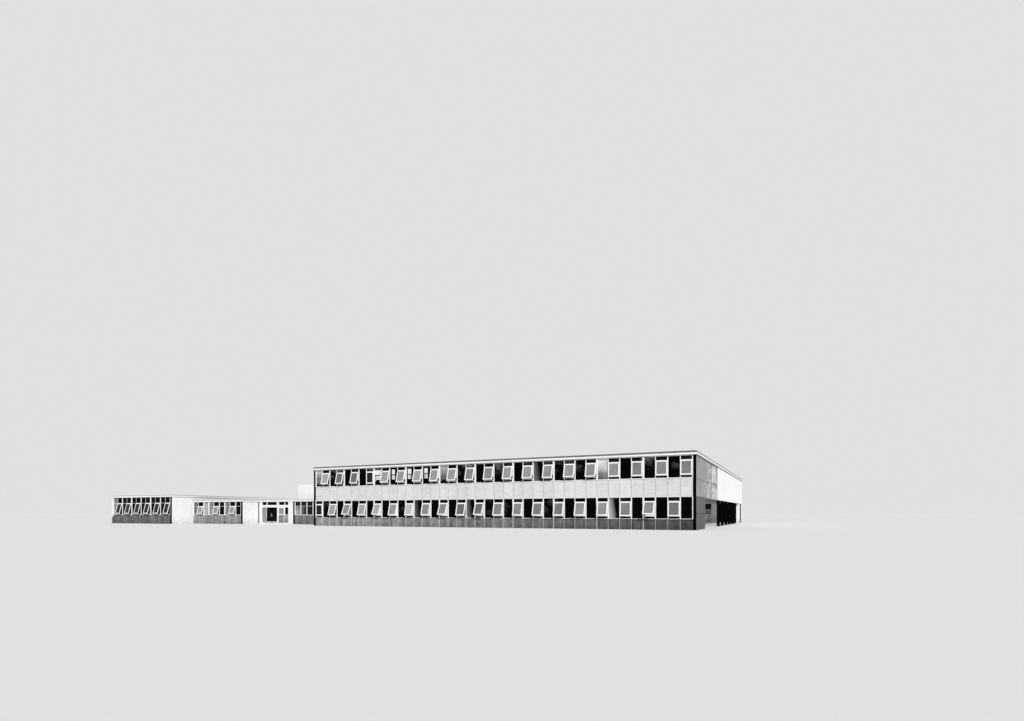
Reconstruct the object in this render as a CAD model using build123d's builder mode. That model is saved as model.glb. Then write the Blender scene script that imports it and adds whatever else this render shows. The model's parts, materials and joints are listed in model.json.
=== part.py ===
import os
from math import cos, radians, sin

from build123d import *

os.makedirs("parts", exist_ok=True)

# A two-storey school of light frame construction, with single-storey wings, as a 1:2 model.
# Every length is in millimetres of the model, so twice a value gives the building's own size.
# X runs along the entrance front, Y goes back into the site and Z is up.

# Planning grid
module = 508.0
post_every = 4
range_modules = 40
range_depth = 2600.0
leg_width_modules = 3
passage_modules = 9
leg_modules = 39
lobby_modules = 2
lobby_windows = 4
lobby_panel = 360.0
pier_lead_modules = 2
link_length = 4475.0
link_windows = 8
entrance_modules = 6
low_modules = 9
low_post_every = 3
tall_modules = 12
link_front = 2794.0
link_depth = 1524.0
low_front = 1524.0
tall_depth = 9652.0
hall_modules = 11
hall_depth = 4064.0
column_start_modules = 2
column_count = 6
inner_column_count = 4
column_spacing = 1830.0

# Levels of the two-storey block
floor_top = 75.0
sill = 450.0
lower_head = 1380.0
upper_floor_top = 1700.0
upper_floor_thickness = 150.0
upper_sill = 2150.0
upper_head = 3080.0
fascia_height = 115.0
kerb_height = 60.0

# Levels of the single-storey wings
wing_sill = 580.0
wing_transom = 1140.0
wing_head = 1440.0
wing_top = 1550.0
tall_transom = 1360.0
tall_head = 1760.0
tall_top = 1875.0
hall_top = 2570.0

# Walls, posts and frames
wall = 127.0
leg_wall = 75.0
hall_wall = 110.0
post = 75.0
column = 150.0
pier = 220.0
overhang = 50.0
frame_depth = 50.0
mullion = 22.0
post_cover = 60.0
rail = 10.0
transom = 14.0
panel_recess = 12.0
panel_joint = 10.0
strip = 25.0
kerb_width = 40.0
board_gap = 2.0
groove = 8.0
glass = 6.0
fixed_setback = 40.0
light_setback = 10.0

# Top-hung casements, planted on the front of their frames
bottom_light = 120.0
top_light = 195.0
wing_bottom_light = 60.0
sash_lap = 6.0
sash_border = 42.0
sash_depth = 20.0
swing_usual = 14.0
swing_ajar = 4.0
swing_wide = 23.0
swing_widest = 30.0

# Entrance screen and doors
pier_width = 305.0
side_width = 406.0
end_width = 305.0
doorway_width = 914.0
screen_post = 140.0
screen_beam = 140.0
threshold = 75.0
door_head = 1070.0
door_clearance = 5.0
door_thickness = 22.0
door_stile = 45.0
door_kick = 110.0
knuckle_radius = 6.0
knuckle_height = 22.0
knuckle_standoff = 7.0
knuckle_web = 14.0
knuckle_seat = 0.3
hinge_low = 250.0
hinge_high = 900.0

# Places that follow from the sizes above
range_length = range_modules * module
range_left = -wall
range_right = range_length + wall
roof_top = upper_head + fascia_height
upper_floor_bottom = upper_floor_top - upper_floor_thickness
leg_in = range_right - leg_width_modules * module - wall
passage_end = range_depth + passage_modules * module
leg_end = range_depth + leg_modules * module
lobby_front = leg_end - lobby_modules * module
lobby_right = leg_in - lobby_panel
lobby_left = lobby_right - lobby_windows * module
pier_front = lobby_front - pier_lead_modules * module
link_back = link_front + link_depth
link_left = range_left - link_length
entrance_left = link_left - entrance_modules * module
low_right = entrance_left
low_left = low_right - wall - low_modules * module
tall_right = low_left
tall_left = tall_right - 2 * wall - tall_modules * module
hall_right = range_left
hall_left = hall_right - hall_modules * module
hall_front = link_back
hall_back = hall_front + hall_depth

# Levels of the bars under and over each row of casements
lower_foot = sill + bottom_light
lower_hinge = lower_head - top_light
upper_foot = upper_sill + bottom_light
upper_hinge = upper_head - top_light
wing_foot = wing_sill + wing_bottom_light


# The origin is under the middle of the whole outline, which the widest casement leads at the front
casement_height = lower_hinge - lower_foot
casement_reach = casement_height * sin(radians(swing_widest)) + sash_depth * cos(radians(swing_widest))
centre_x = (tall_left + range_right) / 2
centre_y = (leg_end - casement_reach) / 2


def plan(z):
    return Plane(origin=(-centre_x, -centre_y, z))


def facade(y):
    return Plane(origin=(-centre_x, y - centre_y, 0), x_dir=(1, 0, 0), z_dir=(0, -1, 0))


def flank(x):
    return Plane(origin=(x - centre_x, -centre_y, 0), x_dir=(0, 1, 0), z_dir=(1, 0, 0))


def span(a0, a1, b0, b1, mode=Mode.ADD):
    """One rectangle of a sketch, given by its edges."""
    with Locations(((a0 + a1) / 2, (b0 + b1) / 2)):
        Rectangle(a1 - a0, b1 - b0, mode=mode)


def blocks(z0, z1, *plans):
    """Upright blocks, each given by its edges in plan."""
    with BuildSketch(plan(z0)) as outline:
        for edges in plans:
            span(*edges)
    extrude(outline.sketch, amount=z1 - z0)


def clear_width(start, i, every):
    """The edges of one window between its two mullions, of which every few is a wide post cover."""
    left = post_cover if i % every == 0 else mullion
    right = post_cover if (i + 1) % every == 0 else mullion
    return start + i * module + left / 2, start + (i + 1) * module - right / 2


def lights(start, count, every, rows, step=1):
    """The edges of each pane opening, with rows(i) giving the heights in the module where it starts."""
    openings = []
    for i in range(0, count, step):
        left = clear_width(start, i, every)[0]
        right = clear_width(start, min(i + step, count) - 1, every)[1]
        openings += [(left, right, low, high) for low, high in rows(i)]
    return openings


def casement_rows(low, foot, hinge, high):
    """Bottom light, casement opening and top light of one window."""
    return [
        (low + rail, foot - transom / 2),
        (foot + transom / 2, hinge - transom / 2),
        (hinge + transom / 2, high - rail),
    ]


def fixed_rows(low, high):
    return [(low + rail, high - rail)]


def bars(y, outline, openings):
    """A window frame in one plane, with its front face at y."""
    with BuildSketch(facade(y + frame_depth)) as lattice:
        span(*outline)
        for opening in openings:
            span(*opening, mode=Mode.SUBTRACT)
    extrude(lattice.sketch, amount=frame_depth)


def panes(y, openings, setback=fixed_setback):
    """Fixed glass in a frame whose front face is at y."""
    with BuildSketch(facade(y + setback + glass)) as sheets:
        for opening in openings:
            span(*opening)
    extrude(sheets.sketch, amount=glass)


def glazing(y, openings, foot, hinge):
    """Glass of a row with casements: deep in the whole windows, near the front round a casement."""
    panes(y, [p for p in openings if p[2] < foot and p[3] > hinge])
    panes(y, [p for p in openings if p[3] <= foot or p[2] >= hinge], light_setback)


def panels(y, recess, start, count, low, high, modules_each=1):
    """A row of infill panels with open joints between them."""
    width = modules_each * module
    with BuildSketch(facade(y + frame_depth)) as row:
        for i in range(count):
            left = start + i * width
            span(left + panel_joint / 2, left + width - panel_joint / 2, low, high)
    extrude(row.sketch, amount=frame_depth - recess)


def sash_plane(y, hinge, swing):
    """The inner face of a casement that hangs from its top edge and swings out."""
    angle = radians(swing)
    outward = (0, -cos(angle), sin(angle))
    return Plane(origin=(-centre_x, y - centre_y, hinge), x_dir=(1, 0, 0), z_dir=outward)


def bays(start, every, swings):
    """The clear width and the angle of each opening casement of a row."""
    return [(*clear_width(start, i, every), swing) for i, swing in swings.items()]


def sashes(y, foot, hinge, casements):
    """Casement frames that hang from one level."""
    height = hinge - foot
    inner = sash_border - sash_lap
    for swing in sorted({angle for _, _, angle in casements}):
        with BuildSketch(sash_plane(y, hinge, swing)) as rings:
            for x0, x1, angle in casements:
                if angle == swing:
                    span(x0 - sash_lap, x1 + sash_lap, -height, 0)
                    span(x0 + inner, x1 - inner, sash_border - height, -sash_border, mode=Mode.SUBTRACT)
        extrude(rings.sketch, amount=sash_depth)


def sash_panes(y, foot, hinge, casements):
    """The glass of the same casements."""
    height = hinge - foot
    inner = sash_border - sash_lap
    for swing in sorted({angle for _, _, angle in casements}):
        with BuildSketch(sash_plane(y, hinge, swing).offset((sash_depth - glass) / 2)) as sheets:
            for x0, x1, angle in casements:
                if angle == swing:
                    span(x0 + inner, x1 - inner, sash_border - height, -sash_border)
        extrude(sheets.sketch, amount=glass)


def boards(z0, z1, x0, x1, y0, y1, sides, width=overhang):
    """Edge boards round a flat roof, on the sides that are named."""
    west = width if "left" in sides else 0
    east = width if "right" in sides else 0
    plans = []
    if "front" in sides:
        plans.append((x0 - west, x1 + east, y0 - width, y0))
    if "rear" in sides:
        plans.append((x0 - west, x1 + east, y1, y1 + width))
    front = y0 + (board_gap if "front" in sides else 0)
    rear = y1 - (board_gap if "rear" in sides else 0)
    if "left" in sides:
        plans.append((x0 - width, x0, front, rear))
    if "right" in sides:
        plans.append((x1, x1 + width, front, rear))
    blocks(z0, z1, *plans)


def save(part, name):
    part.part.label = name
    export_step(part.part, f"parts/{name}.step")


# Which windows open, and how far each stands open
upper_swings = {i: swing_usual for i in range(1, range_modules, 2)}
upper_swings.update({7: 0.0, 33: swing_ajar, 35: swing_ajar, 37: swing_ajar, 39: swing_ajar})
lower_swings = {i: swing_usual for i in range(0, range_modules, 2)}
lower_swings.update({0: 0.0, 4: swing_wide, 8: swing_wide, 16: swing_wide, 20: swing_wide})
lower_swings.update({34: swing_ajar, 36: swing_widest, 38: swing_ajar})
low_swings = {i: swing_usual for i in range(1, low_modules, 3)}
tall_swings = {i: swing_usual for i in range(1, tall_modules, 2)}


def lower_rows(i):
    if i in lower_swings:
        return casement_rows(sill, lower_foot, lower_hinge, lower_head)
    return fixed_rows(sill, lower_head)


def upper_rows(i):
    if i in upper_swings:
        return casement_rows(upper_sill, upper_foot, upper_hinge, upper_head)
    return fixed_rows(upper_sill, upper_head)


lower_lights = lights(0, range_modules, post_every, lower_rows)
upper_lights = lights(0, range_modules, post_every, upper_rows)
lower_bays = bays(0, post_every, lower_swings)
upper_bays = bays(0, post_every, upper_swings)


# Ground floor, upper floor and roof of the front range
inner_front = frame_depth + post
inner_rear = range_depth - frame_depth - post

with BuildPart() as front_ground_floor:
    blocks(0, floor_top, (0, range_length, inner_front, inner_rear))
save(front_ground_floor, "front_ground_floor")

with BuildPart() as front_upper_floor:
    blocks(upper_floor_bottom, upper_floor_top, (0, range_length, inner_front, inner_rear))
save(front_upper_floor, "front_upper_floor")

with BuildPart() as front_roof:
    blocks(upper_head, roof_top, (range_left, range_right, 0, range_depth))
    with BuildSketch(plan(roof_top)) as upstand:
        span(range_left, range_right, 0, range_depth)
        span(range_left + kerb_width, range_right - kerb_width, kerb_width, range_depth - kerb_width,
             mode=Mode.SUBTRACT)
        span(leg_in + kerb_width, range_right - kerb_width, range_depth - kerb_width, range_depth,
             mode=Mode.SUBTRACT)
    extrude(upstand.sketch, amount=kerb_height)
save(front_roof, "front_roof")

# Steel posts behind every fourth mullion, front and rear
with BuildPart() as front_posts:
    plans = []
    for i in range(0, range_modules + 1, post_every):
        x = min(max(i * module, post / 2), range_length - post / 2)
        plans.append((x - post / 2, x + post / 2, frame_depth, inner_front))
        plans.append((x - post / 2, x + post / 2, inner_rear, range_depth - frame_depth))
    blocks(0, upper_head, *plans)
save(front_posts, "front_posts")

# Front of the range
with BuildPart() as front_aprons:
    panels(0, panel_recess, 0, range_modules // 2, 0, sill, 2)
save(front_aprons, "front_aprons")

with BuildPart() as front_spandrels:
    panels(0, panel_recess, 0, range_modules, lower_head, upper_sill)
save(front_spandrels, "front_spandrels")

with BuildPart() as front_lower_frame:
    bars(0, (0, range_length, sill, lower_head), lower_lights)
save(front_lower_frame, "front_lower_frame")

with BuildPart() as front_upper_frame:
    bars(0, (0, range_length, upper_sill, upper_head), upper_lights)
save(front_upper_frame, "front_upper_frame")

with BuildPart() as front_glass:
    glazing(0, lower_lights, lower_foot, lower_hinge)
    glazing(0, upper_lights, upper_foot, upper_hinge)
save(front_glass, "front_glass")

with BuildPart() as front_lower_casements:
    sashes(0, lower_foot, lower_hinge, lower_bays)
save(front_lower_casements, "front_lower_casements")

with BuildPart() as front_upper_casements:
    sashes(0, upper_foot, upper_hinge, upper_bays)
save(front_upper_casements, "front_upper_casements")

with BuildPart() as front_casement_glass:
    sash_panes(0, lower_foot, lower_hinge, lower_bays)
    sash_panes(0, upper_foot, upper_hinge, upper_bays)
save(front_casement_glass, "front_casement_glass")

# Rear of the range, with wider windows, open to the leg on the upper floor
rear_modules = range_modules - leg_width_modules
rear_face = range_depth - frame_depth


def rear_lower_rows(i):
    return fixed_rows(sill, lower_head)


def rear_upper_rows(i):
    return fixed_rows(upper_sill, upper_head)


rear_lower_lights = lights(0, range_modules, post_every, rear_lower_rows, 2)
rear_upper_lights = lights(0, rear_modules, post_every, rear_upper_rows, 2)

with BuildPart() as rear_frames:
    bars(rear_face, (0, range_length, sill, lower_head), rear_lower_lights)
    bars(rear_face, (0, leg_in, upper_sill, upper_head), rear_upper_lights)
save(rear_frames, "rear_frames")

with BuildPart() as rear_glass:
    panes(rear_face, rear_lower_lights + rear_upper_lights, light_setback)
save(rear_glass, "rear_glass")

with BuildPart() as rear_panels:
    with BuildSketch(facade(range_depth - panel_recess)) as row:
        for i in range(0, range_modules, post_every):
            x0 = i * module + panel_joint / 2
            x1 = (i + post_every) * module - panel_joint / 2
            span(x0, x1, 0, sill)
            span(x0, min(x1, leg_in), lower_head, upper_sill)
    extrude(row.sketch, amount=frame_depth - panel_recess)
save(rear_panels, "rear_panels")

# End walls, of which the right one is jointed into panels
with BuildPart() as left_end_wall:
    blocks(0, upper_head, (range_left, 0, strip, range_depth))
save(left_end_wall, "left_end_wall")

with BuildPart() as right_end_wall:
    with BuildSketch(flank(range_length)) as outline:
        span(strip, range_depth, 0, upper_head)
    extrude(amount=wall)
    with BuildSketch(flank(range_right - groove)) as joints:
        for level in (sill + (lower_head - sill) / 4, lower_head, upper_sill - panel_recess * 4):
            span(strip, range_depth, level - groove / 2, level + groove / 2)
        middle = (strip + range_depth) / 2
        span(middle - groove / 2, middle + groove / 2, 0, upper_head)
    extrude(amount=groove, mode=Mode.SUBTRACT)
save(right_end_wall, "right_end_wall")

# Dark strips on the front edges of the end walls
with BuildPart() as end_strips:
    blocks(0, upper_head, (range_left, 0, 0, strip), (range_length, range_right, 0, strip))
    blocks(0, wing_head, (low_right - wall, low_right, low_front, low_front + strip))
    for x in (tall_left, tall_right - wall):
        blocks(0, tall_head, (x, x + wall, 0, strip))
save(end_strips, "end_strips")

# The leg: an upper floor carried on columns, with an open passage next to the range
leg_inner_left = leg_in + leg_wall
leg_inner_right = range_right - leg_wall
leg_inner_end = leg_end - wall

with BuildPart() as leg_floor:
    blocks(
        upper_floor_bottom,
        upper_floor_top,
        (leg_inner_left, leg_inner_right, range_depth, leg_inner_end),
    )
save(leg_floor, "leg_floor")

with BuildPart() as leg_beams:
    blocks(
        lower_head,
        upper_floor_bottom,
        (leg_inner_left, leg_inner_left + column, range_depth, leg_inner_end),
        (leg_inner_right - column, leg_inner_right, range_depth, leg_inner_end),
    )
save(leg_beams, "leg_beams")

with BuildPart() as leg_roof:
    blocks(upper_head, roof_top, (leg_in, range_right, range_depth, leg_end))
    blocks(roof_top, roof_top + kerb_height, (leg_in, leg_in + kerb_width, range_depth, leg_end),
           (range_right - kerb_width, range_right, range_depth, leg_end),
           (leg_in, range_right, leg_end - kerb_width, leg_end))
save(leg_roof, "leg_roof")

# White fascia boards round both roofs
with BuildPart() as roof_fascia:
    blocks(
        upper_head,
        roof_top,
        (range_left - overhang, range_right + overhang, -overhang, 0),
        (range_left - overhang, range_left, board_gap, range_depth - board_gap),
        (range_left - overhang, leg_in, range_depth, range_depth + overhang),
        (leg_in - overhang, leg_in, range_depth + overhang + board_gap, leg_end),
        (range_right, range_right + overhang, board_gap, leg_end),
    )
save(roof_fascia, "roof_fascia")

with BuildPart() as leg_columns:
    plans = []
    for i in range(column_count):
        y = passage_end + column_start_modules * module + i * column_spacing
        plans.append((range_right - column, range_right, y - column / 2, y + column / 2))
        if i < inner_column_count:
            plans.append((leg_in, leg_in + column, y - column / 2, y + column / 2))
    blocks(0, lower_head, *plans)
save(leg_columns, "leg_columns")

with BuildPart() as leg_cross_wall:
    blocks(0, lower_head, (leg_in, range_right, lobby_front, lobby_front + leg_wall))
save(leg_cross_wall, "leg_cross_wall")

with BuildPart() as leg_side_wall:
    blocks(lower_head, upper_head, (leg_inner_right, range_right, passage_end, leg_inner_end))
save(leg_side_wall, "leg_side_wall")

with BuildPart() as leg_end_wall:
    blocks(0, upper_head, (leg_in, range_right, leg_inner_end, leg_end))
save(leg_end_wall, "leg_end_wall")

# Two tiers of glazing on both sides over the passage
passage_middle = (range_depth + passage_end) / 2
passage_lights = [
    (y0, y1, z0, z1)
    for y0, y1 in (
        (range_depth + mullion, passage_middle - mullion / 2),
        (passage_middle + mullion / 2, passage_end - mullion),
    )
    for z0, z1 in (
        (lower_head + mullion, upper_sill - mullion / 2),
        (upper_sill + mullion / 2, upper_head - rail),
    )
]

with BuildPart() as passage_frames:
    for x in (leg_in, leg_inner_right):
        with BuildSketch(flank(x)) as lattice:
            span(range_depth, passage_end, lower_head, upper_head)
            for opening in passage_lights:
                span(*opening, mode=Mode.SUBTRACT)
        extrude(lattice.sketch, amount=leg_wall)
save(passage_frames, "passage_frames")

with BuildPart() as passage_glass:
    for x in (leg_in, leg_inner_right):
        with BuildSketch(flank(x + leg_wall / 2)) as sheets:
            for opening in passage_lights:
                span(*opening)
        extrude(sheets.sketch, amount=glass)
save(passage_glass, "passage_glass")

# Court side of the leg: panels below a row of windows
court_modules = leg_modules - passage_modules
court_length = leg_inner_end - passage_end


def court_rows(i):
    return fixed_rows(upper_sill, upper_head)


court_lights = [
    (y0, min(y1, leg_inner_end - rail), z0, z1)
    for y0, y1, z0, z1 in lights(passage_end, court_modules, post_every, court_rows, 2)
]

with BuildPart() as court_frame:
    with BuildSketch(flank(leg_in)) as lattice:
        span(passage_end, passage_end + court_length, upper_sill, upper_head)
        for opening in court_lights:
            span(*opening, mode=Mode.SUBTRACT)
    extrude(lattice.sketch, amount=leg_wall)
save(court_frame, "court_frame")

with BuildPart() as court_glass:
    with BuildSketch(flank(leg_in + leg_wall / 2)) as sheets:
        for opening in court_lights:
            span(*opening)
    extrude(sheets.sketch, amount=glass)
save(court_glass, "court_glass")

with BuildPart() as court_panels:
    with BuildSketch(flank(leg_in + panel_recess)) as row:
        for i in range(0, court_modules, 2):
            y1 = min(passage_end + (i + 2) * module - panel_joint / 2, leg_inner_end)
            span(passage_end + i * module + panel_joint / 2, y1, lower_head, upper_sill)
    extrude(row.sketch, amount=leg_wall - panel_recess)
    with BuildSketch(facade(lobby_front + frame_depth)) as lobby_side:
        span(lobby_right + panel_joint / 2, leg_in - panel_joint / 2, 0, wing_head)
    extrude(lobby_side.sketch, amount=frame_depth - panel_recess)
save(court_panels, "court_panels")

# Single-storey wings: the link and entrance share one roof, and each pavilion has its own
entrance_right = link_left
low_back = link_back
tall_back = tall_depth
low_rear = low_back - frame_depth
tall_rear = tall_back - frame_depth
low_start = low_left
tall_start = tall_left + wall

with BuildPart() as wing_floors:
    blocks(
        0,
        floor_top,
        (low_right, range_left, link_front + frame_depth, link_back - wall),
        (low_left, low_right - wall, low_front + frame_depth, low_back - frame_depth),
        (tall_left + wall, tall_right - wall, frame_depth, tall_back - frame_depth),
        (lobby_left + wall, leg_in, lobby_front + frame_depth, leg_inner_end),
    )
save(wing_floors, "wing_floors")

with BuildPart() as wing_roofs:
    blocks(
        wing_head,
        wing_top,
        (low_right + overhang + board_gap, range_left, link_front, link_back),
        (low_left, low_right, low_front, low_back),
        (lobby_left, leg_in, lobby_front, leg_end),
    )
save(wing_roofs, "wing_roofs")

with BuildPart() as tall_pavilion_roof:
    blocks(tall_head, tall_top, (tall_left, tall_right, 0, tall_back))
save(tall_pavilion_roof, "tall_pavilion_roof")

with BuildPart() as wing_fascia:
    link_start = low_right + overhang + board_gap
    boards(wing_head, wing_top, link_start, range_left, link_front, link_back, ("front",))
    boards(wing_head, wing_top, low_left, low_right, low_front, low_back, ("front", "right", "rear"))
    boards(tall_head, tall_top, tall_left, tall_right, 0, tall_back, ("front", "left", "right", "rear"))
    boards(wing_head, wing_top, lobby_left, leg_in - overhang, lobby_front, leg_end, ("front", "left"))
save(wing_fascia, "wing_fascia")

# Layout of the entrance screen, from left to right
side_bay = (entrance_left + pier_width, entrance_left + pier_width + side_width)
doorway = (side_bay[1] + mullion, side_bay[1] + mullion + doorway_width)
casement_bay = (doorway[1] + screen_post, doorway[1] + screen_post + module)
end_bay = (casement_bay[1] + mullion, casement_bay[1] + mullion + end_width)
beam_low = door_head
beam_high = door_head + screen_beam
screen_top = wing_head - rail
screen_panel = (*side_bay, threshold, beam_low)
screen_casement = (*casement_bay, wing_sill + rail, beam_low)
screen_fixed = [
    (*end_bay, wing_sill + rail, beam_low),
    (*side_bay, beam_high, screen_top),
    (doorway[0] + mullion, doorway[1] - mullion, beam_high, screen_top),
    (*casement_bay, beam_high, screen_top),
    (*end_bay, beam_high, screen_top),
]
screen_aprons = [(*casement_bay, threshold, wing_sill), (*end_bay, threshold, wing_sill)]


def plain_low_rows(i):
    return fixed_rows(wing_sill, wing_head)


def plain_tall_rows(i):
    return fixed_rows(wing_sill, tall_head)


def low_rows(i):
    if i in low_swings:
        return casement_rows(wing_sill, wing_foot, wing_transom, wing_head)
    return plain_low_rows(i)


def tall_rows(i):
    if i in tall_swings:
        return casement_rows(wing_sill, wing_foot, tall_transom, tall_head)
    return plain_tall_rows(i)


link_lights = lights(link_left + wall, link_windows, post_every, plain_low_rows)
low_lights = lights(low_start, low_modules, low_post_every, low_rows)
tall_lights = lights(tall_start, tall_modules, post_every, tall_rows)
lobby_lights = lights(lobby_left, lobby_windows, post_every, plain_low_rows)
rear_low_lights = lights(low_start, low_modules, low_post_every, plain_low_rows, low_post_every)
rear_tall_lights = lights(tall_start, tall_modules, post_every, plain_tall_rows, 2)
low_bays = bays(low_start, low_post_every, low_swings)
tall_bays = bays(tall_start, post_every, tall_swings)
screen_bays = [(*casement_bay, 0.0)]

with BuildPart() as wing_frames:
    bars(link_front, (link_left + wall, range_left, wing_sill, wing_head), link_lights)
    bars(low_front, (low_left, low_right - wall, wing_sill, wing_head), low_lights)
    bars(low_rear, (low_left, low_right - wall, wing_sill, wing_head), rear_low_lights)
    bars(lobby_front, (lobby_left, lobby_right, wing_sill, wing_head), lobby_lights)
save(wing_frames, "wing_frames")

with BuildPart() as tall_pavilion_frames:
    bars(0, (tall_left + wall, tall_right - wall, wing_sill, tall_head), tall_lights)
    bars(tall_rear, (tall_left + wall, tall_right - wall, wing_sill, tall_head), rear_tall_lights)
save(tall_pavilion_frames, "tall_pavilion_frames")

with BuildPart() as wing_glass:
    panes(link_front, link_lights + screen_fixed)
    panes(lobby_front, lobby_lights)
    glazing(low_front, low_lights, wing_foot, wing_transom)
    glazing(0, tall_lights, wing_foot, tall_transom)
    panes(low_rear, rear_low_lights, light_setback)
    panes(tall_rear, rear_tall_lights, light_setback)
save(wing_glass, "wing_glass")

with BuildPart() as pavilion_casements:
    sashes(low_front, wing_foot, wing_transom, low_bays)
    sashes(0, wing_foot, tall_transom, tall_bays)
    sashes(link_front, wing_sill, beam_low + sash_lap, screen_bays)
save(pavilion_casements, "pavilion_casements")

with BuildPart() as pavilion_casement_glass:
    sash_panes(low_front, wing_foot, wing_transom, low_bays)
    sash_panes(0, wing_foot, tall_transom, tall_bays)
    sash_panes(link_front, wing_sill, beam_low + sash_lap, screen_bays)
save(pavilion_casement_glass, "pavilion_casement_glass")

with BuildPart() as wing_aprons:
    link_bays = link_windows // post_every
    panels(link_front, panel_recess, link_left + wall, link_bays, 0, wing_sill, post_every)
    for y, recess in ((0, panel_recess), (tall_rear, 0)):
        panels(y, recess, tall_start, tall_modules // post_every, 0, wing_sill, post_every)
    for y, recess in ((low_front, panel_recess), (low_rear, 0)):
        panels(y, recess, low_start, low_modules // low_post_every, 0, wing_sill, low_post_every)
    panels(lobby_front, panel_recess, lobby_left, 1, 0, wing_sill, lobby_windows)
    with BuildSketch(facade(link_front + frame_depth)) as row:
        for opening in screen_aprons:
            span(*opening)
    extrude(row.sketch, amount=frame_depth - panel_recess)
save(wing_aprons, "wing_aprons")

with BuildPart() as entrance_panel:
    with BuildSketch(facade(link_front + frame_depth)) as row:
        span(*screen_panel)
    extrude(row.sketch, amount=frame_depth - panel_recess)
save(entrance_panel, "entrance_panel")

# Plain white walls of the wings
with BuildPart() as pavilion_walls:
    blocks(0, wing_head, (low_right - wall, low_right, low_front + strip, low_back))
    blocks(
        0,
        tall_head,
        (tall_left, tall_left + wall, strip, tall_back),
        (tall_right - wall, tall_right, strip, tall_back),
    )
save(pavilion_walls, "pavilion_walls")

with BuildPart() as wing_walls:
    blocks(
        0,
        wing_head,
        (low_right, range_left - board_gap, link_back - wall, link_back),
        (range_left, 0, range_depth, link_back),
        (lobby_left, lobby_left + wall, lobby_front + frame_depth, leg_end),
        (lobby_left + wall + board_gap, leg_in, leg_inner_end, leg_end),
    )
save(wing_walls, "wing_walls")

with BuildPart() as link_pier:
    blocks(0, wing_head, (link_left, link_left + wall, link_front, link_front + frame_depth))
save(link_pier, "link_pier")

with BuildPart() as lobby_pier:
    blocks(0, lower_head, (range_right - pier, range_right, pier_front, pier_front + pier))
save(lobby_pier, "lobby_pier")

# The taller white volume behind the link, whose walls rise past its roof
hall_inner_front = hall_front + hall_wall
hall_inner_back = hall_back - hall_wall

with BuildPart() as hall_walls:
    blocks(
        0,
        hall_top,
        (hall_left, hall_right, hall_front, hall_inner_front),
        (hall_left, hall_right, hall_inner_back, hall_back),
        (hall_left, hall_left + hall_wall, hall_inner_front + board_gap, hall_inner_back - board_gap),
        (hall_right - hall_wall, hall_right, hall_inner_front + board_gap, hall_inner_back - board_gap),
    )
save(hall_walls, "hall_walls")

with BuildPart() as hall_roof:
    blocks(
        hall_top - fascia_height,
        hall_top - kerb_height,
        (hall_left + hall_wall, hall_right - hall_wall, hall_inner_front, hall_inner_back),
    )
save(hall_roof, "hall_roof")

# Entrance: a framed screen with a pair of outward-opening glazed doors
screen_openings = [*screen_fixed, *screen_aprons, screen_panel, screen_casement]
screen_parts = {
    "left": (entrance_left, doorway[0] - board_gap, 0, wing_head),
    "right": (doorway[1] + board_gap, entrance_right, 0, wing_head),
    "lintel": (doorway[0], doorway[1], beam_low, wing_head),
    "threshold": (doorway[0], doorway[1], 0, threshold),
}

with BuildPart() as entrance_screen:
    for x0, x1, z0, z1 in screen_parts.values():
        inside = [p for p in screen_openings if p[0] >= x0 and p[1] <= x1 and p[2] >= z0]
        bars(link_front, (x0, x1, z0, z1), inside)
save(entrance_screen, "entrance_screen")

door_low = threshold + door_clearance
door_high = door_head - door_clearance
meeting = (doorway[0] + doorway[1]) / 2
door_play = door_clearance / 2
leaves = {
    "left": (doorway[0] + door_clearance, meeting - door_play, doorway[0] + door_play, 1),
    "right": (meeting + door_play, doorway[1] - door_clearance, doorway[1] - door_play, -1),
}
hinge_y = link_front - knuckle_standoff


def knuckles(hinge_x, side, seat):
    """Hinge knuckles on one jamb or leaf, each a barrel with a web back to the face behind it."""
    for level in (hinge_low, hinge_high):
        z = level + knuckle_seat if seat > 0 else level - knuckle_height
        web = sorted((hinge_x, hinge_x + side * knuckle_web))
        with BuildSketch(plan(z)) as outline:
            with Locations((hinge_x, hinge_y)):
                Circle(knuckle_radius)
            span(*web, hinge_y - knuckle_radius / 2, link_front)
            # The web stops short of the other piece's side of the hinge
            clear = sorted((hinge_x, hinge_x - side * knuckle_web))
            span(*clear, link_front - knuckle_standoff + knuckle_radius, link_front, mode=Mode.SUBTRACT)
        extrude(outline.sketch, amount=knuckle_height)


with BuildPart() as entrance_hinges:
    for x0, x1, hinge_x, side in leaves.values():
        knuckles(hinge_x, -side, -1)
save(entrance_hinges, "entrance_hinges")

for name, (x0, x1, hinge_x, side) in leaves.items():
    with BuildPart() as leaf:
        with BuildSketch(facade(link_front + door_thickness)) as outline:
            span(x0, x1, door_low, door_high)
            span(x0 + door_stile, x1 - door_stile, door_low + door_kick, door_high - door_stile,
                 mode=Mode.SUBTRACT)
        extrude(amount=door_thickness)
        knuckles(hinge_x, side, 1)
    save(leaf, f"door_{name}")

    with BuildPart() as leaf_glass:
        with BuildSketch(facade(link_front + (door_thickness + glass) / 2)) as sheet:
            span(x0 + door_stile, x1 - door_stile, door_low + door_kick, door_high - door_stile)
        extrude(amount=glass)
    save(leaf_glass, f"door_{name}_glass")
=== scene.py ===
import json
import math

import bmesh
import bpy
from mathutils import Matrix, Vector


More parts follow.
